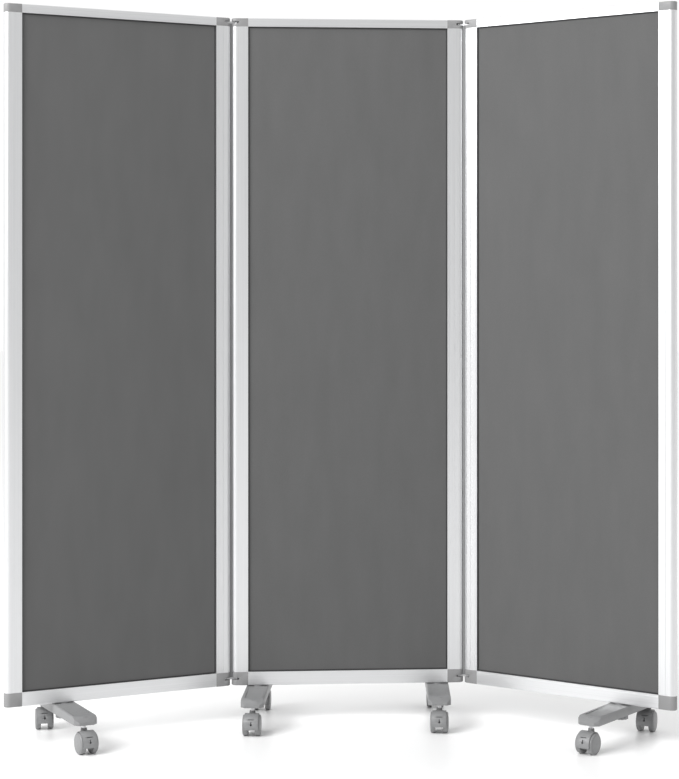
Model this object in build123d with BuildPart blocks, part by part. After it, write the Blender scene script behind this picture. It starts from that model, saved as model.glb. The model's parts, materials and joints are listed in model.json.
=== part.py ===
"""Three-panel folding partition on casters: aluminium frames, felt-faced boards, swivel feet.

Frame: +Z up, X along the middle panel, -Y its front, origin on the floor under the middle of the
whole footprint. Every length is in millimetres, every angle in degrees. Each piece is drawn on
planes that follow its panel, foot or caster, so a new fold angle or width moves all of it.
"""

import os
from math import cos, hypot, radians, sin, sqrt

from build123d import *

os.makedirs("parts", exist_ok=True)

# --- panels ---------------------------------------------------------------------------------
panel_width = 597.0
frame_height = 1707.0
panel_thickness = 26.0
floor_gap = 93.0  # from the floor to the underside of the frames
post_face = 42.0
top_rail_height = 21.5
bottom_rail_height = 34.5
profile_wall = 1.8
channel_depth = 10.0  # how far the infill runs into posts and rails
core_thickness = 11.0
felt_thickness = 2.0
infill_clearance = 0.15
rail_edge_round = 2.5
face_groove_inset = 19.0  # from the lip beside the felt to the line along each face
face_groove_width = 1.2
face_groove_depth = 0.6
bead_width = 4.0  # the raised bead along the lip
bead_groove_width = 0.8
bead_groove_depth = 0.5
spigot_length = 25.0  # into the posts
rail_spigot_length = 14.0
spigot_clearance = 0.15

# --- hinges ---------------------------------------------------------------------------------
post_gap = 5.0
fold_left = 23.0  # how far each side panel stands forward of the middle one
fold_right = 39.5
link_height = 5.0
link_clearance = 0.3
eye_radius = 4.5
link_web = 6.0
hinge_pin_radius = 2.0
pin_play = 0.05
pin_cover = 2.5  # metal left over each end of a pin
slot_margin = 1.0  # beyond the link's eye
strip_depth = 6.0
strip_clearance = 0.4

# --- feet -----------------------------------------------------------------------------------
foot_length = 344.0
foot_width = 57.0
foot_depth = 25.0
foot_flat = 22.0  # half length of the level stretch under the frame
foot_wall = 3.5
pad_radius = 14.0
pad_height = 2.5
nose_length = 20.0
nose_top_drop = 4.5  # below the frame, where the nose starts
nose_lip_drop = 17.5
nose_corner = 10.0
foot_edge_round = 3.0
panel_recess_width = 40.0
recess_near_depth = 0.3  # at the end of the recess beside the frame
recess_far_depth = 2.0
panel_recess_margin = 9.0
side_foot_inset = 151.0  # from the outer end of a side panel to its foot
middle_foot_inset = 67.0  # from each end of the middle panel to its foot
middle_left_foot_turn = -6.6
middle_right_foot_turn = -4.8
clamp_boss_radius = 12.0
stem_boss_radius = 9.5
knob_radius = 19.0
knob_height = 13.0
knob_flutes = 12
flute_radius = 3.0
knob_gap = 0.2
stud_radius = 4.0
stud_play = 0.08
stud_reach = 12.0  # above the underside of the frame
insert_radius = 8.0
insert_height = 9.0

# --- casters --------------------------------------------------------------------------------
caster_spacing = 300.0
caster_trail = 16.0
wheel_radius = 25.5
wheel_inner = 9.4  # from the middle of the caster to the inner face of a wheel
wheel_tread = 12.8
wheel_dome = 1.5
wheel_edge = 2.0
cap_radius = 21.5
cap_groove = 0.7
axle_radius = 4.0
axle_play = 0.05
axle_end_gap = 2.5
hub_gap = 0.2
hub_radius = 6.5
web_half = 8.0
hood_clearance = 1.2
hood_wall = 2.2
hood_half = 17.5
hood_floor_height = 18.0
hood_back_angle = 30.0  # above level, where the hood ends behind the wheels
slit_width = 16.0
slit_height = 1.6
slit_rise = 17.5  # above the axle, as are the keyhole, the neck and the stem
keyhole_radius = 2.5
keyhole_rise = 5.5
keyhole_slot = 2.0
keyhole_top_rise = 12.5
front_cut_depth = 14.0
stem_radius = 5.0
stem_play = 0.05
stem_rise = 8.5
stem_grip = 12.0  # how far the stem is pressed into the foot
neck_top_rise = 32.5
neck_base_rise = 21.5
neck_floor = 3.0  # below the end of the stem
neck_base_radius = 9.0
neck_top_radius = 7.0
collar_radius = 7.5
collar_height = 2.0
left_front_caster_turn = 25.0  # each caster's own direction, seen from above, 0 facing -Y
left_back_caster_turn = 8.0
middle_left_caster_turn = -7.0
middle_right_caster_turn = -7.0
right_front_caster_turn = -40.0
right_back_caster_turn = -26.0

# --- places that follow from the sizes above ------------------------------------------------
nose_radius = panel_thickness / 2
pin_spacing = panel_thickness + post_gap
pin_reach = panel_width / 2 - nose_radius  # from a panel's middle to its pin axis
opening_width = panel_width - 2 * post_face
lip = opening_width / 2  # from a panel's middle to the edge of a post
frame_bottom = floor_gap
frame_top = floor_gap + frame_height
opening_bottom = frame_bottom + bottom_rail_height
opening_top = frame_top - top_rail_height
opening_height = opening_top - opening_bottom
infill_thickness = core_thickness + 2 * felt_thickness
channel_width = infill_thickness + 2 * infill_clearance
foot_underside = frame_bottom - foot_depth
hood_inner = wheel_radius + hood_clearance
hood_outer = hood_inner + hood_wall
stem_bottom = wheel_radius + stem_rise
neck_base = wheel_radius + neck_base_rise
neck_top = wheel_radius + neck_top_rise
link_direction_left = fold_left / 2
link_direction_right = fold_right / 2


def plane_at(place, plane):
    """Carries a plane into the frame of a panel, a link, a foot or a caster."""
    return Plane(place * plane.location)


def side_panel_middle(side, fold):
    """Where a side panel's middle lies from the middle panel's, side -1 for left and 1 for right."""
    link_x = pin_spacing * cos(radians(fold / 2))
    link_y = pin_spacing * sin(radians(fold / 2))
    x = pin_reach + link_x + pin_reach * cos(radians(fold))
    y = link_y + pin_reach * sin(radians(fold))
    return side * x, -y


# The footprint runs from the left panel's outer end to the back corner of the right foot, and
# from that foot's front caster to the back corner of the middle panel's left foot.
left_middle = side_panel_middle(-1, fold_left)
right_middle = side_panel_middle(1, fold_right)
left_end = left_middle[0] - pin_reach * cos(radians(fold_left)) - nose_radius
right_foot_along = panel_width / 2 - side_foot_inset
right_end = right_middle[0] + (right_foot_along + foot_width / 2) * cos(radians(fold_right))
right_end += (foot_length / 2 - nose_corner) * sin(radians(fold_right))
front_end = right_middle[1] - right_foot_along * sin(radians(fold_right))
front_end -= caster_spacing / 2 * cos(radians(fold_right))
front_end -= (caster_trail + hood_outer) * cos(radians(right_front_caster_turn))
front_end += hood_half * sin(radians(right_front_caster_turn))
back_end = foot_length / 2 * cos(radians(middle_left_foot_turn))
back_end -= (foot_width / 2 - nose_corner) * sin(radians(middle_left_foot_turn))
centre_x = (left_end + right_end) / 2
centre_y = (front_end + back_end) / 2

panel_at = {
    "middle": Location((-centre_x, -centre_y, 0)),
    "left": Location((left_middle[0] - centre_x, left_middle[1] - centre_y, 0), (0, 0, fold_left)),
    "right": Location((right_middle[0] - centre_x, right_middle[1] - centre_y, 0), (0, 0, -fold_right)),
}
hinged_ends = {"middle": (-1, 1), "left": (1,), "right": (-1,)}
feet = {
    "left": ("left", side_foot_inset - panel_width / 2, 0.0),
    "middle_left": ("middle", middle_foot_inset - panel_width / 2, middle_left_foot_turn),
    "middle_right": ("middle", panel_width / 2 - middle_foot_inset, middle_right_foot_turn),
    "right": ("right", panel_width / 2 - side_foot_inset, 0.0),
}
foot_at = {
    name: panel_at[panel] * Location((x, 0, 0), (0, 0, turn)) for name, (panel, x, turn) in feet.items()
}
caster_turns = {
    "left_front": left_front_caster_turn,
    "left_back": left_back_caster_turn,
    "middle_left_front": middle_left_caster_turn,
    "middle_left_back": middle_left_caster_turn,
    "middle_right_front": middle_right_caster_turn,
    "middle_right_back": middle_right_caster_turn,
    "right_front": right_front_caster_turn,
    "right_back": right_back_caster_turn,
}
caster_at = {}
for foot in feet:
    for end, sign in (("front", -1), ("back", 1)):
        stem = foot_at[foot] * Location((0, sign * caster_spacing / 2, 0))
        turn = caster_turns[f"{foot}_{end}"]
        caster_at[f"{foot}_{end}"] = Location(stem.position, (0, 0, turn))

# The left link turns with half the left fold, the right link with half the right one.
middle_pin_left = panel_at["middle"] * Location((-pin_reach, 0, 0))
middle_pin_right = panel_at["middle"] * Location((pin_reach, 0, 0))
link_at = {
    "left": Location(middle_pin_left.position, (0, 0, 180 + link_direction_left)),
    "right": Location(middle_pin_right.position, (0, 0, -link_direction_right)),
}
# The two heights at which each hinge has a link: half way up the bottom and the top corner pieces.
link_levels = (frame_bottom + bottom_rail_height / 2, frame_top - top_rail_height / 2)
corner_levels = ((frame_bottom, bottom_rail_height), (opening_top, top_rail_height))


def nose_outline(side, inset, start, mode=Mode.ADD):
    """Draws a post's outline in plan, round at its outer end, inset all round from the outside."""
    radius = nose_radius - inset
    length = post_face - nose_radius - start
    with Locations((side * pin_reach, 0)):
        Circle(radius, mode=mode)
    with Locations((side * (pin_reach - length / 2), 0)):
        Rectangle(length, 2 * radius, mode=mode)


def make_posts(panel, at):
    """Two extruded posts: a round nose, a channel for the infill, a bead and a line on each face."""
    with BuildPart() as posts:
        for side in (-1, 1):
            with BuildSketch(plane_at(at, Plane.XY.offset(opening_bottom))):
                nose_outline(side, 0, 0)
                nose_outline(side, profile_wall, channel_depth + profile_wall, Mode.SUBTRACT)
                with Locations((side * (lip + channel_depth / 2), 0)):
                    Rectangle(channel_depth, channel_width, mode=Mode.SUBTRACT)
                face_line = side * (lip + face_groove_inset)
                bead_line = side * (lip + bead_width + bead_groove_width / 2)
                with Locations((face_line, nose_radius), (face_line, -nose_radius)):
                    Rectangle(face_groove_width, 2 * face_groove_depth, mode=Mode.SUBTRACT)
                with Locations((bead_line, nose_radius), (bead_line, -nose_radius)):
                    Rectangle(bead_groove_width, 2 * bead_groove_depth, mode=Mode.SUBTRACT)
            extrude(amount=opening_height)
    posts.part.label = f"{panel}_posts"
    export_step(posts.part, f"parts/{panel}_posts.step")


def rail_section(level, height, outward):
    """Draws a rail's section: the infill's channel, a hollow behind it, and a bead on each face."""
    inner = level if outward > 0 else level + height
    hollow = height - channel_depth - 2 * profile_wall
    hollow_middle = inner + outward * (channel_depth + profile_wall + hollow / 2)
    with Locations((0, level + height / 2)):
        Rectangle(panel_thickness, height)
    with Locations((0, inner + outward * channel_depth / 2)):
        Rectangle(channel_width, channel_depth, mode=Mode.SUBTRACT)
    with Locations((0, hollow_middle)):
        Rectangle(panel_thickness - 2 * profile_wall, hollow, mode=Mode.SUBTRACT)
    bead_line = inner + outward * (bead_width + bead_groove_width / 2)
    with Locations((nose_radius, bead_line), (-nose_radius, bead_line)):
        Rectangle(2 * bead_groove_depth, bead_groove_width, mode=Mode.SUBTRACT)


def make_rails(panel, at):
    """A top and a bottom rail between the corner pieces; the bottom one takes the feet's clamps."""
    with BuildPart() as top_rail:
        with BuildSketch(plane_at(at, Plane.YZ)) as section:
            rail_section(opening_top, top_rail_height, 1)
            fillet(section.vertices().group_by(Axis.Y)[-1], rail_edge_round)
        extrude(amount=opening_width / 2, both=True)
    top_rail.part.label = f"{panel}_top_rail"
    export_step(top_rail.part, f"parts/{panel}_top_rail.step")

    with BuildPart() as bottom_rail:
        with BuildSketch(plane_at(at, Plane.YZ)) as section:
            rail_section(frame_bottom, bottom_rail_height, -1)
            fillet(section.vertices().group_by(Axis.Y)[0], rail_edge_round)
        extrude(amount=opening_width / 2, both=True)
        clamps = [(x, 0) for owner, x, _ in feet.values() if owner == panel]
        with BuildSketch(plane_at(at, Plane.XY.offset(frame_bottom))):
            with Locations(clamps):
                Circle(insert_radius)
        extrude(amount=insert_height)
        with BuildSketch(plane_at(at, Plane.XY.offset(frame_bottom))):
            with Locations(clamps):
                Circle(stud_radius + stud_play)
        extrude(amount=insert_height, mode=Mode.SUBTRACT)
    bottom_rail.part.label = f"{panel}_bottom_rail"
    export_step(bottom_rail.part, f"parts/{panel}_bottom_rail.step")


def make_corners(panel, at):
    """Four moulded corner pieces with spigots into posts and rails, and slots for the hinge links."""
    with BuildPart() as corners:
        for level, height in corner_levels:
            with BuildSketch(plane_at(at, Plane.XY.offset(level))):
                for side in (-1, 1):
                    nose_outline(side, 0, 0)
            extrude(amount=height)

        # the outer edges are eased, but not where a rail's end meets the piece
        def clear_of_rail(edge):
            off = edge.center() - at.position
            return hypot(off.X, off.Y) > lip + rail_edge_round

        top_edges = corners.faces().sort_by(Axis.Z)[-2:].edges()
        bottom_edges = corners.faces().sort_by(Axis.Z)[:2].edges()
        fillet((top_edges + bottom_edges).filter_by(clear_of_rail), rail_edge_round)

        for level, height in corner_levels:
            outward = 1 if level > opening_bottom else -1
            inner = level if outward > 0 else level + height
            hollow = height - channel_depth - 2 * profile_wall
            hollow_middle = inner + outward * (channel_depth + profile_wall + hollow / 2)
            inset = profile_wall + spigot_clearance
            with BuildSketch(plane_at(at, Plane.XY.offset(inner))):
                with Locations((lip + channel_depth / 2, 0), (-lip - channel_depth / 2, 0)):
                    Rectangle(channel_depth, channel_width)
            extrude(amount=outward * channel_depth, mode=Mode.SUBTRACT)
            with BuildSketch(plane_at(at, Plane.XY.offset(inner))):
                for side in (-1, 1):
                    nose_outline(side, inset, channel_depth + inset)
            extrude(amount=-outward * spigot_length)
            for side in (-1, 1):
                with BuildSketch(plane_at(at, Plane.YZ.offset(side * lip))):
                    with Locations((0, hollow_middle)):
                        Rectangle(panel_thickness - 2 * inset, hollow - 2 * spigot_clearance)
                extrude(amount=-side * rail_spigot_length)

        # each slot is open to the front, the back and the end, so its link can swing both ways
        slot_height = link_height + 2 * link_clearance
        slot_length = nose_radius + eye_radius + slot_margin
        for side in hinged_ends[panel]:
            for (level, height), middle in zip(corner_levels, link_levels):
                with BuildSketch(plane_at(at, Plane.XY.offset(middle - slot_height / 2))):
                    with Locations((side * (panel_width / 2 - slot_length / 2), 0)):
                        Rectangle(slot_length, panel_thickness)
                extrude(amount=slot_height, mode=Mode.SUBTRACT)
                with BuildSketch(plane_at(at, Plane.XY.offset(level + pin_cover))):
                    with Locations((side * pin_reach, 0)):
                        Circle(hinge_pin_radius + pin_play)
                extrude(amount=height - 2 * pin_cover, mode=Mode.SUBTRACT)
    corners.part.label = f"{panel}_corners"
    export_step(corners.part, f"parts/{panel}_corners.step")


def make_infill(panel, at):
    """A light core board with a felt face glued to each side of it, held in the channels."""
    reach = 2 * (channel_depth - infill_clearance)
    middle = (opening_bottom + opening_top) / 2
    felt_y = core_thickness / 2 + felt_thickness / 2
    with BuildPart(plane_at(at, Plane.XY.offset(middle))) as core_board:
        Box(opening_width + reach, core_thickness, opening_height + reach)
    core_board.part.label = f"{panel}_core_board"
    export_step(core_board.part, f"parts/{panel}_core_board.step")
    with BuildPart(plane_at(at, Plane.XY.offset(middle))) as felt_faces:
        with Locations((0, felt_y, 0), (0, -felt_y, 0)):
            Box(opening_width + reach, felt_thickness, opening_height + reach)
    felt_faces.part.label = f"{panel}_felt_faces"
    export_step(felt_faces.part, f"parts/{panel}_felt_faces.step")


def make_hinge(side, at):
    """Two double-eyed links, their pivot pins, and the strip between them that fills the gap."""
    low, high = (level - link_height / 2 for level in link_levels)
    with BuildPart() as links:
        for bottom in (low, high):
            with BuildSketch(plane_at(at, Plane.XY.offset(bottom))):
                with Locations((0, 0), (pin_spacing, 0)):
                    Circle(eye_radius)
                with Locations((pin_spacing / 2, 0)):
                    Rectangle(pin_spacing, link_web)
                with Locations((0, 0), (pin_spacing, 0)):
                    Circle(hinge_pin_radius, mode=Mode.SUBTRACT)
            extrude(amount=link_height)
    links.part.label = f"{side}_hinge_links"
    export_step(links.part, f"parts/{side}_hinge_links.step")

    with BuildPart() as pins:
        for level, height in corner_levels:
            with BuildSketch(plane_at(at, Plane.XY.offset(level + pin_cover + pin_play))):
                with Locations((0, 0), (pin_spacing, 0)):
                    Circle(hinge_pin_radius)
            extrude(amount=height - 2 * pin_cover - 2 * pin_play)
    pins.part.label = f"{side}_hinge_pins"
    export_step(pins.part, f"parts/{side}_hinge_pins.step")

    with BuildPart() as gap_strip:
        with BuildSketch(plane_at(at, Plane.XY.offset(low + link_height))):
            with Locations((pin_spacing / 2, 0)):
                Rectangle(pin_spacing / 2, strip_depth)
            with Locations((0, 0), (pin_spacing, 0)):
                Circle(nose_radius + strip_clearance, mode=Mode.SUBTRACT)
        extrude(amount=high - low - link_height)
    gap_strip.part.label = f"{side}_gap_strip"
    export_step(gap_strip.part, f"parts/{side}_gap_strip.step")


def arm_drop(y):
    """How far below the frame a foot's upper surface lies, at y from the foot's middle."""
    slope = (nose_top_drop - pad_height) / (foot_length / 2 - nose_length - foot_flat)
    return pad_height + slope * max(0.0, abs(y) - foot_flat)


def foot_outline():
    """Draws a foot's side view: level in the middle, sloping to a nose at each end."""
    half = foot_length / 2
    right = [
        (foot_flat, -pad_height),
        (half - nose_length, -nose_top_drop),
        (half, -nose_lip_drop),
        (half, -foot_depth),
    ]
    left = [(-y, z) for y, z in reversed(right)]
    Polygon(*right, *left, align=None)


def make_foot(foot, at):
    """A hollow moulded bar with a shallow panel in each arm, a clamp boss and two stem bosses."""
    under = at * Location((0, 0, frame_bottom))
    across = plane_at(at, Plane.XY).x_dir
    stem_places = [(0, -caster_spacing / 2), (0, caster_spacing / 2)]
    with BuildPart() as shell:
        with BuildSketch(plane_at(under, Plane.YZ)):
            foot_outline()
        extrude(amount=foot_width / 2, both=True)
        with BuildSketch(plane_at(under, Plane.XY.offset(-foot_depth))) as plan:
            Rectangle(foot_width, foot_length)
            chamfer(plan.vertices(), nose_corner)
        extrude(amount=foot_depth, mode=Mode.INTERSECT)

        # the upper edges along both flanks are rounded
        def upper_flank_edge(edge):
            off = edge.center() - under.position
            return abs(off.dot(across)) > foot_width / 2 - foot_wall and off.Z > -nose_top_drop

        fillet(shell.edges().filter_by(upper_flank_edge), foot_edge_round)

        # the underside is hollow up to the start of each nose
        hollow_end = foot_length / 2 - nose_length
        with BuildSketch(plane_at(under, Plane.YZ)):
            Polygon(
                (-hollow_end, -foot_depth),
                (-hollow_end, -nose_top_drop - foot_wall),
                (-foot_flat, -pad_height - foot_wall),
                (foot_flat, -pad_height - foot_wall),
                (hollow_end, -nose_top_drop - foot_wall),
                (hollow_end, -foot_depth),
                align=None,
            )
        extrude(amount=foot_width / 2 - foot_wall, both=True, mode=Mode.SUBTRACT)

        # a shallow dish is sunk into the top of each arm, deepest at its outer end
        start = foot_flat + panel_recess_margin
        end = foot_length / 2 - nose_length - panel_recess_margin
        for sign in (-1, 1):
            with BuildSketch(plane_at(under, Plane.YZ)):
                Polygon(
                    (sign * start, 0),
                    (sign * start, -arm_drop(start) - recess_near_depth),
                    (sign * end, -arm_drop(end) - recess_far_depth),
                    (sign * end, 0),
                    align=None,
                )
            extrude(amount=panel_recess_width / 2, both=True, mode=Mode.SUBTRACT)

        # the pad that bears on the frame, the boss below it, and one boss for each stem
        with BuildSketch(plane_at(under, Plane.XY)):
            Circle(pad_radius)
        extrude(amount=-pad_height - foot_wall)
        with BuildSketch(plane_at(under, Plane.XY.offset(-foot_depth))):
            Circle(clamp_boss_radius)
        extrude(amount=foot_depth - pad_height)
        with BuildSketch(plane_at(under, Plane.XY.offset(-foot_depth))):
            with Locations(stem_places):
                Circle(stem_boss_radius)
        roof_under_dish = foot_wall - recess_far_depth
        boss_top = arm_drop(caster_spacing / 2) + foot_wall - roof_under_dish / 2
        extrude(amount=foot_depth - boss_top)
        with BuildSketch(plane_at(under, Plane.XY.offset(-foot_depth))):
            with Locations(stem_places):
                Circle(stem_radius)
        extrude(amount=stem_grip, mode=Mode.SUBTRACT)
        with BuildSketch(plane_at(under, Plane.XY.offset(-foot_depth))):
            Circle(stud_radius + stud_play)
        extrude(amount=foot_depth, mode=Mode.SUBTRACT)
    shell.part.label = f"{foot}_foot"
    export_step(shell.part, f"parts/{foot}_foot.step")

    with BuildPart() as stems:
        with BuildSketch(plane_at(at, Plane.XY.offset(stem_bottom))):
            with Locations(stem_places):
                Circle(stem_radius)
        extrude(amount=foot_underside + stem_grip - stem_bottom)
        with BuildSketch(plane_at(at, Plane.XY.offset(foot_underside))):
            with Locations(stem_places):
                Circle(collar_radius)
        extrude(amount=-collar_height)
    stems.part.label = f"{foot}_foot_stems"
    export_step(stems.part, f"parts/{foot}_foot_stems.step")


def make_knob(foot, at):
    """The hand knob under a foot, in one piece with the stud that clamps the foot to the rail."""
    knob_top = foot_underside - knob_gap
    with BuildPart() as knob:
        with BuildSketch(plane_at(at, Plane.XY.offset(knob_top))):
            Circle(knob_radius)
            with PolarLocations(knob_radius + flute_radius / 2, knob_flutes):
                Circle(flute_radius, mode=Mode.SUBTRACT)
        extrude(amount=-knob_height)
        with BuildSketch(plane_at(at, Plane.XY.offset(knob_top))):
            Circle(stud_radius)
        extrude(amount=frame_bottom + stud_reach - knob_top)
    knob.part.label = f"{foot}_foot_knob"
    export_step(knob.part, f"parts/{foot}_foot_knob.step")


def hood_side(radius):
    """Draws a disc round the axle, cut off above the floor and open behind the wheels."""
    behind = (2 * radius * cos(radians(hood_back_angle)), 2 * radius * sin(radians(hood_back_angle)))
    Circle(radius)
    with Locations((0, -wheel_radius)):
        Rectangle(2 * radius, 2 * hood_floor_height, mode=Mode.SUBTRACT)
    Polygon((0, 0), behind, (2 * radius, -2 * radius), (0, -2 * radius), align=None, mode=Mode.SUBTRACT)


def make_hood(name, at, axle):
    """A caster's hood, with the web between the wheels, the axle's hub and the neck on the stem."""
    with BuildPart() as hood:
        with BuildSketch(plane_at(axle, Plane.YZ)):
            hood_side(hood_inner + hood_wall / 2)
        extrude(amount=web_half, both=True)
        with BuildSketch(plane_at(axle, Plane.YZ)):
            hood_side(hood_outer)
            Circle(hood_inner, mode=Mode.SUBTRACT)
        extrude(amount=hood_half, both=True)
        with BuildSketch(plane_at(axle, Plane.YZ)):
            Circle(hub_radius)
        extrude(amount=wheel_inner - hub_gap, both=True)
        with BuildSketch(plane_at(at, Plane.XY.offset(stem_bottom - neck_floor))):
            Circle(neck_base_radius)
        extrude(amount=neck_base + neck_floor - stem_bottom)
        with BuildSketch(plane_at(at, Plane.XY.offset(neck_base))):
            Circle(neck_base_radius)
        with BuildSketch(plane_at(at, Plane.XY.offset(neck_top))):
            Circle(neck_top_radius)
        loft()
        with BuildSketch(plane_at(at, Plane.XY.offset(stem_bottom - stem_play))):
            Circle(stem_radius + stem_play)
        extrude(amount=neck_top + stem_play - stem_bottom, mode=Mode.SUBTRACT)
        with BuildSketch(plane_at(axle, Plane.YZ)):
            Circle(axle_radius)
        extrude(amount=wheel_inner, both=True, mode=Mode.SUBTRACT)
        # a thin slit and a keyhole in the front of the hood
        with BuildSketch(plane_at(axle, Plane.XZ.offset(hood_outer))):
            with Locations((0, slit_rise)):
                Rectangle(slit_width, slit_height)
            with Locations((0, keyhole_rise)):
                Circle(keyhole_radius)
            with Locations((0, (keyhole_rise + keyhole_top_rise) / 2)):
                Rectangle(keyhole_slot, keyhole_top_rise - keyhole_rise)
        extrude(amount=-front_cut_depth, mode=Mode.SUBTRACT)
    hood.part.label = f"{name}_caster_hood"
    export_step(hood.part, f"parts/{name}_caster_hood.step")


def make_wheels(name, axle):
    """A pair of domed wheels, one each side of the hood's web, and the axle they run on."""
    tread_end = wheel_inner + wheel_tread
    # the dome is part of a ball that meets the cap's rim, centred on the axle's axis
    dome_ball = (cap_radius**2 + wheel_dome**2) / (2 * wheel_dome)
    half_way_out = wheel_dome - dome_ball + sqrt(dome_ball**2 - (cap_radius / 2) ** 2)
    with BuildPart() as wheels:
        for side in (-1, 1):
            with BuildSketch(plane_at(axle, Plane.XZ)):
                with BuildLine():
                    Polyline(
                        (side * (tread_end + wheel_dome), 0),
                        (side * wheel_inner, 0),
                        (side * wheel_inner, wheel_radius),
                        (side * (tread_end - wheel_edge), wheel_radius),
                        (side * tread_end, wheel_radius - wheel_edge),
                        (side * tread_end, cap_radius + cap_groove),
                        (side * (tread_end - cap_groove), cap_radius + cap_groove),
                        (side * (tread_end - cap_groove), cap_radius),
                        (side * tread_end, cap_radius),
                    )
                    ThreePointArc(
                        (side * tread_end, cap_radius),
                        (side * (tread_end + half_way_out), cap_radius / 2),
                        (side * (tread_end + wheel_dome), 0),
                    )
                make_face()
            revolve(axis=Axis(axle.position, plane_at(axle, Plane.YZ).z_dir))
        with BuildSketch(plane_at(axle, Plane.YZ)):
            Circle(axle_radius + axle_play)
        extrude(amount=tread_end, both=True, mode=Mode.SUBTRACT)
    wheels.part.label = f"{name}_caster_wheels"
    export_step(wheels.part, f"parts/{name}_caster_wheels.step")

    with BuildPart() as axle_pin:
        with BuildSketch(plane_at(axle, Plane.YZ)):
            Circle(axle_radius)
        extrude(amount=tread_end - axle_end_gap, both=True)
    axle_pin.part.label = f"{name}_caster_axle"
    export_step(axle_pin.part, f"parts/{name}_caster_axle.step")


for panel in panel_at:
    make_posts(panel, panel_at[panel])
    make_rails(panel, panel_at[panel])
    make_corners(panel, panel_at[panel])
    make_infill(panel, panel_at[panel])
for side in link_at:
    make_hinge(side, link_at[side])
for foot in foot_at:
    make_foot(foot, foot_at[foot])
    make_knob(foot, foot_at[foot])
for caster in caster_at:
    caster_axle = caster_at[caster] * Location((0, -caster_trail, wheel_radius))
    make_hood(caster, caster_at[caster], caster_axle)
    make_wheels(caster, caster_axle)
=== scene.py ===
import json
from math import pi, radians

import bmesh
import bpy
from mathutils import Matrix, Vector


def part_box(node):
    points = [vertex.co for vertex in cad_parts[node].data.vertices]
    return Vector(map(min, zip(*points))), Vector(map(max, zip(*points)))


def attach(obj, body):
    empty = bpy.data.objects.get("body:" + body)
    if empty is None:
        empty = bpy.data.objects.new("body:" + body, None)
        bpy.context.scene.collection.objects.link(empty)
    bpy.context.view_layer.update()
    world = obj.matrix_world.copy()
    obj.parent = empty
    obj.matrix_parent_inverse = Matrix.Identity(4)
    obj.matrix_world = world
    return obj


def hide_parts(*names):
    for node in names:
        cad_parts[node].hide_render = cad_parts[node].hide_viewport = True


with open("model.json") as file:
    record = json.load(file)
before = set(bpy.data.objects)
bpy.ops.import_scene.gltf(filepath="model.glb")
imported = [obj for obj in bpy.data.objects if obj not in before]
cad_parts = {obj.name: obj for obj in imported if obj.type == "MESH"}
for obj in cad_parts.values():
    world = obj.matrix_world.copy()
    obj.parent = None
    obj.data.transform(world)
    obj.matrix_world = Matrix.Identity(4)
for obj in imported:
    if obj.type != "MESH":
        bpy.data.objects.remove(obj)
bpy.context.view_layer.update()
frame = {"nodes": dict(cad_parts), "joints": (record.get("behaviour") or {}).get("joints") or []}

nodes = frame["nodes"]

# --- Panels ---------------------------------------------------------------------------------
# Three equal panels stand in a row on floor casters, joined by double-pivot hinges. The middle one
# is straight across and the outer two lean forward by different angles. Every piece below is made
# in its own panel's frame: x along the panel from its middle, -y its front, z up from the floor.

hinge_pin = {joint["name"]: Vector(joint["pos_m"]) for joint in frame["joints"]}
panel_pin = {
    "left": (hinge_pin["left_panel_hinge"], 1),
    "middle": (hinge_pin["right_link_hinge"], 1),
    "right": (hinge_pin["right_panel_hinge"], -1),
}
panel_place = {}
for panel, (pin, side) in panel_pin.items():
    low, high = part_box(f"{panel}_core_board")
    middle = Vector(((low.x + high.x) / 2, (low.y + high.y) / 2, 0))
    along = (pin - middle) * side
    turn = Vector((1, 0)).angle_signed(Vector((along.x, -along.y)))
    panel_place[panel] = Matrix.Translation(middle) @ Matrix.Rotation(turn, 4, "Z")


def grain_material(name, colour, metallic, roughness):
    """Starts a material and returns it with its node tree and its shader."""
    material = bpy.data.materials.new(name)
    material.use_nodes = True
    tree = material.node_tree
    shader = tree.nodes["Principled BSDF"]
    shader.inputs["Base Color"].default_value = (*colour, 1)
    shader.inputs["Metallic"].default_value = metallic
    shader.inputs["Roughness"].default_value = roughness
    return material, tree, shader


def stretched_noise(tree, turn, stretch, scale, detail):
    """A noise pattern on the piece, turned with its panel and drawn out along one direction."""
    place = tree.nodes.new("ShaderNodeTexCoord")
    turned = tree.nodes.new("ShaderNodeMapping")
    turned.inputs["Rotation"].default_value = (0, 0, turn)
    drawn_out = tree.nodes.new("ShaderNodeMapping")
    drawn_out.inputs["Scale"].default_value = stretch
    noise = tree.nodes.new("ShaderNodeTexNoise")
    noise.inputs["Scale"].default_value = scale
    noise.inputs["Detail"].default_value = detail
    tree.links.new(place.outputs["Object"], turned.inputs["Vector"])
    tree.links.new(turned.outputs["Vector"], drawn_out.inputs["Vector"])
    tree.links.new(drawn_out.outputs["Vector"], noise.inputs["Vector"])
    return noise


def spread(tree, source, low, high):
    """Turns a 0 to 1 pattern into a narrow range of values."""
    ranged = tree.nodes.new("ShaderNodeMapRange")
    ranged.inputs["To Min"].default_value = low
    ranged.inputs["To Max"].default_value = high
    tree.links.new(source, ranged.inputs["Value"])
    return ranged.outputs["Result"]


def tint(tree, source, dark, light):
    """Turns a 0 to 1 pattern into a blend of two colours."""
    blend = tree.nodes.new("ShaderNodeMix")
    blend.data_type = "RGBA"
    blend.inputs["A"].default_value = (*dark, 1)
    blend.inputs["B"].default_value = (*light, 1)
    tree.links.new(source, blend.inputs["Factor"])
    return blend.outputs["Result"]


def raise_by(tree, shader, source, strength, distance):
    """Feeds a pattern into the shader as a fine relief."""
    bump = tree.nodes.new("ShaderNodeBump")
    bump.inputs["Strength"].default_value = strength
    bump.inputs["Distance"].default_value = distance
    tree.links.new(source, bump.inputs["Height"])
    tree.links.new(bump.outputs["Normal"], shader.inputs["Normal"])


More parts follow.
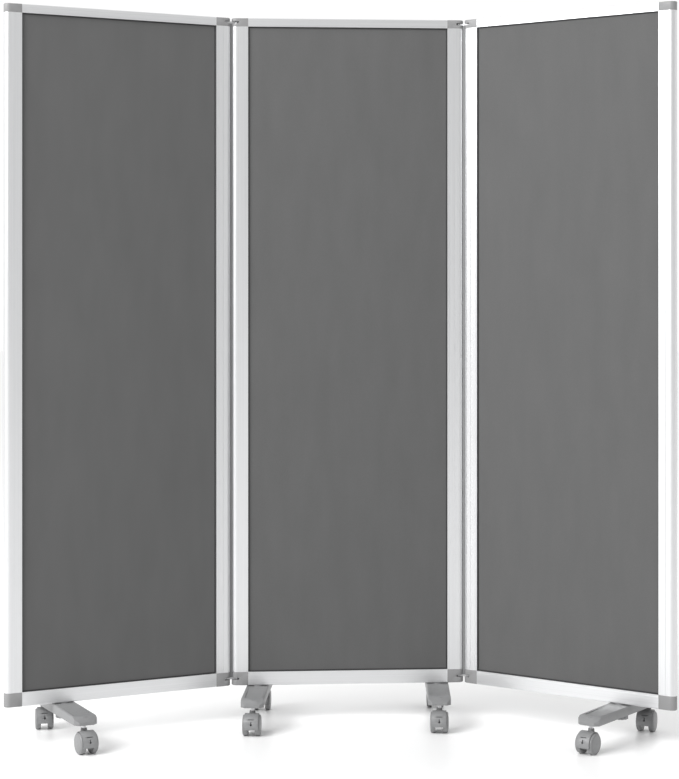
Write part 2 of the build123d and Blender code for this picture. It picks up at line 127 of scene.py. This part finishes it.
def paint(node, material):
    """Gives a carried-over solid its finish, smooth round its curves and crisp at its corners."""
    mesh = nodes[node].data
    mesh.materials.clear()
    mesh.materials.append(material)
    mesh.shade_smooth()
    mesh.set_sharp_from_angle(angle=radians(30))


# --- Posts and rails ------------------------------------------------------------------------
# Extruded aluminium, clear anodised to a bright satin. The die leaves very fine straight lines
# along each length, so the lines run up the posts and across the rails.

aluminium_light = (0.77, 0.775, 0.78)
aluminium_dark = (0.63, 0.635, 0.645)
line_scale = 900
line_depth = 0.00005
up_the_posts = (1, 1, 0.002)
along_the_rails = (0.002, 1, 1)
runs = (("posts", up_the_posts, ("posts",)), ("rails", along_the_rails, ("top_rail", "bottom_rail")))
for panel, place in panel_place.items():
    turn = -place.to_euler().z
    for run, stretch, pieces in runs:
        material, tree, shader = grain_material(f"anodised_{panel}_{run}", aluminium_light, 0.85, 0.34)
        lines = stretched_noise(tree, turn, stretch, line_scale, 3)
        colour = tint(tree, lines.outputs["Fac"], aluminium_dark, aluminium_light)
        tree.links.new(colour, shader.inputs["Base Color"])
        tree.links.new(spread(tree, lines.outputs["Fac"], 0.28, 0.42), shader.inputs["Roughness"])
        raise_by(tree, shader, lines.outputs["Fac"], 0.25, line_depth)
        for piece in pieces:
            paint(f"{panel}_{piece}", material)

# --- Corner pieces --------------------------------------------------------------------------
# Injection-moulded grey plastic blocks that plug into the posts and rails. Their faces carry a
# fine spark-eroded texture from the mould.

gloss_spread = 0.08
corner_rounding = 0.0005

def moulded(name, colour, roughness, grain_scale):
    """Moulded plastic: a fine pebbled skin with slightly uneven gloss and colour."""
    material, tree, shader = grain_material(name, colour, 0, roughness)
    pebbles = stretched_noise(tree, 0, (1, 1, 1), grain_scale, 4)
    clouds = stretched_noise(tree, 0, (1, 1, 1), 60, 2)
    darker = tuple(0.9 * c for c in colour)
    lighter = tuple(1.06 * c for c in colour)
    tree.links.new(tint(tree, clouds.outputs["Fac"], darker, lighter), shader.inputs["Base Color"])
    gloss = spread(tree, pebbles.outputs["Fac"], roughness - gloss_spread, roughness + gloss_spread)
    tree.links.new(gloss, shader.inputs["Roughness"])
    raise_by(tree, shader, pebbles.outputs["Fac"], 0.3, 0.0001)
    return material


def eased(node, name, body, material, radius):
    """The same solid with its mould's small rounding along every sharp edge."""
    shape = bmesh.new()
    shape.from_mesh(nodes[node].data)
    bmesh.ops.remove_doubles(shape, verts=shape.verts, dist=1e-6)
    bmesh.ops.dissolve_limit(shape, angle_limit=radians(0.5), verts=shape.verts, edges=shape.edges)
    mesh = bpy.data.meshes.new(name)
    shape.to_mesh(mesh)
    shape.free()
    mesh.shade_smooth()
    mesh.materials.clear()
    mesh.materials.append(material)
    piece = bpy.data.objects.new(name, mesh)
    bpy.context.scene.collection.objects.link(piece)
    rounding = piece.modifiers.new("rounding", "BEVEL")
    rounding.width = radius
    rounding.segments = 2
    rounding.limit_method = "ANGLE"
    rounding.angle_limit = radians(35)
    rounding.harden_normals = True
    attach(piece, body)
    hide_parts(node)
    return piece


corner_plastic = moulded("corner_plastic", (0.24, 0.24, 0.242), 0.45, 1500)
for panel in panel_place:
    blocks = f"{panel}_corner_blocks"
    eased(f"{panel}_corners", blocks, f"{panel}_panel", corner_plastic, corner_rounding)

# --- Core boards and felt faces -------------------------------------------------------------
# Each panel's infill is a fibreboard with a sheet of needled grey felt stretched over each side.
# Its edges run into the channels of the frame, which stand a few millimetres proud of it.

board, tree, shader = grain_material("fibreboard", (0.42, 0.34, 0.25), 0, 0.8)
fibres = stretched_noise(tree, 0, (1, 1, 0.2), 700, 5)
board_colour = tint(tree, fibres.outputs["Fac"], (0.3, 0.23, 0.16), (0.52, 0.43, 0.32))
tree.links.new(board_colour, shader.inputs["Base Color"])
raise_by(tree, shader, fibres.outputs["Fac"], 0.4, 0.0003)

felt_dark = (0.058, 0.058, 0.0582)
felt_light = (0.109, 0.109, 0.1093)
felt_sheen = 0.18
felt_thickness = 0.002
felt_low, felt_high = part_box("middle_felt_faces")
felt_surface = (felt_high.y - felt_low.y) / 2
felt_middle = felt_surface - felt_thickness / 2
felt_level = (felt_low.z + felt_high.z) / 2
width, height = felt_high.x - felt_low.x, felt_high.z - felt_low.z
for panel, place in panel_place.items():
    paint(f"{panel}_core_board", board)
    felt, tree, shader = grain_material(f"{panel}_felt", felt_light, 0, 0.95)
    shader.inputs["Sheen Weight"].default_value = felt_sheen
    shader.inputs["Sheen Roughness"].default_value = 0.6
    fibre = stretched_noise(tree, -place.to_euler().z, (1, 1, 0.45), 1400, 6)
    clouds = stretched_noise(tree, -place.to_euler().z, (1, 1, 0.25), 22, 4)
    mixed = tree.nodes.new("ShaderNodeMix")
    mixed.inputs["Factor"].default_value = 0.35
    tree.links.new(fibre.outputs["Fac"], mixed.inputs["A"])
    tree.links.new(clouds.outputs["Fac"], mixed.inputs["B"])
    felt_colour = tint(tree, mixed.outputs["Result"], felt_dark, felt_light)
    tree.links.new(felt_colour, shader.inputs["Base Color"])
    raise_by(tree, shader, fibre.outputs["Fac"], 0.5, 0.0004)

    for face, side in (("front", -1), ("back", 1)):
        shape = bmesh.new()
        bmesh.ops.create_grid(shape, x_segments=32, y_segments=96, size=0.5)
        bmesh.ops.scale(shape, vec=(width, height, 1), verts=shape.verts)
        bmesh.ops.rotate(shape, matrix=Matrix.Rotation(side * -pi / 2, 3, "X"), verts=shape.verts)
        bmesh.ops.translate(shape, vec=(0, side * felt_middle, felt_level), verts=shape.verts)
        shape.transform(place)
        mesh = bpy.data.meshes.new(f"{panel}_{face}_felt")
        shape.to_mesh(mesh)
        shape.free()
        sheet = bpy.data.objects.new(f"{panel}_{face}_felt", mesh)
        bpy.context.scene.collection.objects.link(sheet)
        sheet.data.materials.append(felt)
        wall = sheet.modifiers.new("thickness", "SOLIDIFY")
        wall.thickness = felt_thickness
        wall.offset = 0
        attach(sheet, f"{panel}_panel")
        if face == "front":
            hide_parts(f"{panel}_felt_faces")

# --- Painted shadow lines -------------------------------------------------------------------
# A thin near-black bead runs along all four lips of each opening, front and back. It is painted shade:
# it stands in for the shadow line where the felt meets the lip, and is not a rubber part of the
# object.

# The bead's near-black colour is painted shade, the shadow line along the lips.
shade_bead_paint, tree, shader = grain_material("painted_shade_bead", (0.02, 0.02, 0.021), 0, 0.7)
shade_bead_mottle = stretched_noise(tree, 0, (1, 1, 1), 500, 3)
shade_bead_colour = tint(tree, shade_bead_mottle.outputs["Fac"], (0.014, 0.014, 0.015), (0.03, 0.03, 0.031))
tree.links.new(shade_bead_colour, shader.inputs["Base Color"])
raise_by(tree, shader, shade_bead_mottle.outputs["Fac"], 0.2, 0.0001)
shade_bead_width, shade_bead_height = 0.003, 0.0012
top_low, top_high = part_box("middle_top_rail")
opening_width = top_high.x - top_low.x
opening_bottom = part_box("middle_bottom_rail")[1].z
opening_height = top_low.z - opening_bottom
opening_level = opening_bottom + opening_height / 2
# Each opening gets its painted shadow line round the lips, front and back.
for panel, place in panel_place.items():
    for face, side in (("front", -1), ("back", 1)):
        shape = bmesh.new()
        bmesh.ops.create_grid(shape, x_segments=1, y_segments=1, size=0.5)
        bmesh.ops.scale(shape, vec=(opening_width, opening_height, 1), verts=shape.verts)
        bmesh.ops.rotate(shape, matrix=Matrix.Rotation(side * -pi / 2, 3, "X"), verts=shape.verts)
        bmesh.ops.translate(shape, vec=(0, side * felt_surface, opening_level), verts=shape.verts)
        inner = shape.faces[:]
        bmesh.ops.inset_region(
            shape, faces=inner, thickness=shade_bead_width, use_boundary=True, use_even_offset=True
        )
        bmesh.ops.delete(shape, geom=inner, context="FACES")
        flat_faces = shape.faces[:]
        raised = bmesh.ops.extrude_face_region(shape, geom=flat_faces, use_keep_orig=True)
        verts = [part for part in raised["geom"] if isinstance(part, bmesh.types.BMVert)]
        bmesh.ops.translate(shape, vec=(0, side * shade_bead_height, 0), verts=verts)
        bmesh.ops.recalc_face_normals(shape, faces=shape.faces)
        shape.transform(place)
        mesh = bpy.data.meshes.new(f"{panel}_{face}_gasket")
        shape.to_mesh(mesh)
        shape.free()
        mesh.materials.append(shade_bead_paint)
        shade_bead = bpy.data.objects.new(f"{panel}_{face}_gasket", mesh)
        bpy.context.scene.collection.objects.link(shade_bead)
        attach(shade_bead, f"{panel}_panel")

# --- Hinges ---------------------------------------------------------------------------------
# Each pair of panels is joined by two stamped steel links that turn on pins in the corner pieces.
# A moulded strip between the links fills the gap between the rounded posts.

zinc, tree, shader = grain_material("zinc_plate", (0.62, 0.62, 0.63), 1, 0.35)
smear = stretched_noise(tree, 0, (1, 1, 1), 260, 3)
tree.links.new(spread(tree, smear.outputs["Fac"], 0.28, 0.5), shader.inputs["Roughness"])
zinc_colour = tint(tree, smear.outputs["Fac"], (0.5, 0.5, 0.51), (0.7, 0.7, 0.71))
tree.links.new(zinc_colour, shader.inputs["Base Color"])
strip_plastic = moulded("strip_plastic", (0.2, 0.202, 0.205), 0.5, 900)
for side in ("left", "right"):
    paint(f"{side}_hinge_links", zinc)
    paint(f"{side}_hinge_pins", zinc)
    paint(f"{side}_gap_strip", strip_plastic)

# --- Feet -----------------------------------------------------------------------------------
# Hollow moulded bars with a shallow dish in each arm and a chamfered nose at each end, clamped
# under the bottom rails by a hand knob on a steel stud.

foot_plastic = moulded("foot_plastic", (0.22, 0.222, 0.225), 0.42, 1200)
knob_plastic = moulded("knob_plastic", (0.24, 0.243, 0.247), 0.45, 1200)
foot_rounding = 0.001
feet = ("left", "middle_left", "middle_right", "right")
for foot in feet:
    eased(f"{foot}_foot", f"{foot}_foot_bar", f"{foot}_foot", foot_plastic, foot_rounding)
    knob = f"{foot}_foot_knob"
    eased(knob, f"{foot}_hand_knob", f"{foot}_knob", knob_plastic, foot_rounding)
    paint(f"{foot}_foot_stems", zinc)

# --- Casters --------------------------------------------------------------------------------
# Twin-wheel swivel casters: a moulded hood over two domed discs that run on a steel axle.

wheel_plastic = moulded("wheel_plastic", (0.22, 0.222, 0.225), 0.38, 1400)
hood_rounding = 0.0006
wheel_rounding = 0.0008
for foot in feet:
    for end in ("front", "back"):
        caster = f"{foot}_{end}"
        hood, wheels = f"{caster}_caster_hood", f"{caster}_caster_wheels"
        eased(hood, f"{caster}_hood", f"{caster}_caster", foot_plastic, hood_rounding)
        eased(
            wheels, f"{caster}_wheel_pair", f"{caster}_wheels", wheel_plastic, wheel_rounding
        )
        paint(f"{caster}_caster_axle", zinc)

# --- Floor, light and camera ----------------------------------------------------------------
# A white studio: a pale floor, a white surround that dims towards the front, and one broad soft
# light from the left. The camera looks level, almost straight at the middle panel.

floor_shape = bmesh.new()
bmesh.ops.create_circle(floor_shape, cap_ends=True, segments=96, radius=30)
floor_mesh = bpy.data.meshes.new("floor")
floor_shape.to_mesh(floor_mesh)
floor_shape.free()
floor = bpy.data.objects.new("floor", floor_mesh)
bpy.context.scene.collection.objects.link(floor)
floor_paint, tree, shader = grain_material("floor_paint", (0.95, 0.95, 0.95), 0, 0.35)
floor.data.materials.append(floor_paint)

surround = bpy.data.worlds.new("surround")
surround.use_nodes = True
surround.node_tree.nodes["Background"].inputs["Color"].default_value = (1, 1, 1, 1)
sky = surround.node_tree
direction = sky.nodes.new("ShaderNodeTexCoord")
split = sky.nodes.new("ShaderNodeSeparateXYZ")
front_fall = sky.nodes.new("ShaderNodeMapRange")
front_fall.interpolation_type = "SMOOTHSTEP"
front_fall.inputs["From Min"].default_value = -1.0
front_fall.inputs["From Max"].default_value = -0.2
front_fall.inputs["To Min"].default_value = 0.6
front_fall.inputs["To Max"].default_value = 1.02
sky.links.new(direction.outputs["Generated"], split.inputs["Vector"])
sky.links.new(split.outputs["Y"], front_fall.inputs["Value"])
sky.links.new(front_fall.outputs["Result"], sky.nodes["Background"].inputs["Strength"])
bpy.context.scene.world = surround


def soft_light(name, place, aim, size, power):
    """A square soft box, aimed at a point on the object."""
    lamp = bpy.data.lights.new(name, "AREA")
    lamp.shape = "SQUARE"
    lamp.size = size
    lamp.energy = power
    box = bpy.data.objects.new(name, lamp)
    box.location = place
    box.rotation_euler = (Vector(aim) - Vector(place)).to_track_quat("-Z", "Y").to_euler()
    bpy.context.scene.collection.objects.link(box)


light_place = (-4.15, -3.0, 4.2)
light_aim = (0.2, 0, 1.0)
soft_light("left_box", light_place, light_aim, 3.6, 400)
bpy.context.scene.view_settings.view_transform = "Standard"

lens_mm = 90.513
camera = bpy.data.cameras.new("camera")
camera.sensor_width = 36
camera.lens = lens_mm
camera.shift_y = -0.13072
camera.clip_end = 100
viewer = bpy.data.objects.new("camera", camera)
viewer.location = (-0.33002, -4.89002, 1.11037)
viewer.rotation_euler = (pi / 2, 0, radians(-3.97))
bpy.context.scene.collection.objects.link(viewer)
bpy.context.scene.camera = viewer
